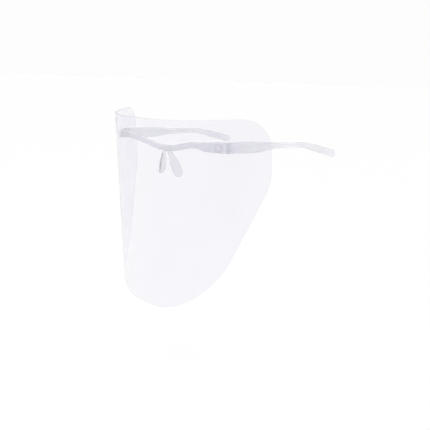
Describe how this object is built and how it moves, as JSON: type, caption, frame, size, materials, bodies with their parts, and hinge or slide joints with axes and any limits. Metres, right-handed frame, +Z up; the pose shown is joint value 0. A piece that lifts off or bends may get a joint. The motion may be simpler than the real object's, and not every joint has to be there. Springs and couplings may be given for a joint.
{
  "type": "face shield",
  "caption": "Clear face shield worn like spectacles: a bent sheet visor buttoned to a brow frame with a nose piece and folding temples.",
  "frame": {"origin": "midway between the two visor studs, on the wearer's centre plane at brow height", "axes": "+Z up along the hinge pins, -Y the way the wearer looks, +X to the wearer's left"},
  "size_m": [0.2028, 0.1646, 0.1674],
  "materials": {
    "clear_sheet": "clear glossy film",
    "clear_frame": "clear moulded plastic",
    "clear_nose": "clear moulded plastic",
    "clear_temple": "clear moulded plastic",
    "clear_stud": "clear moulded plastic",
    "clear_pin": "clear moulded plastic"
  },
  "bodies": {
    "front": {"visor": "clear_sheet", "brow_frame": "clear_frame", "nose_piece": "clear_nose", "hinge_pin_left": "clear_pin", "hinge_pin_right": "clear_pin", "visor_stud_left": "clear_stud", "visor_stud_right": "clear_stud"},
    "left_arm": {"temple_left": "clear_temple"},
    "right_arm": {"temple_right": "clear_temple"}
  },
  "joints": [
    {"name": "left_fold", "type": "hinge", "parent": "front", "child": "left_arm", "pos_m": [0.0764, 0.0083, 0], "axis": [0, 0, 1], "range_deg": [0, 90]},
    {"name": "right_fold", "type": "hinge", "parent": "front", "child": "right_arm", "pos_m": [-0.0764, 0.0083, 0], "axis": [0, 0, -1], "range_deg": [0, 82]}
  ]
}
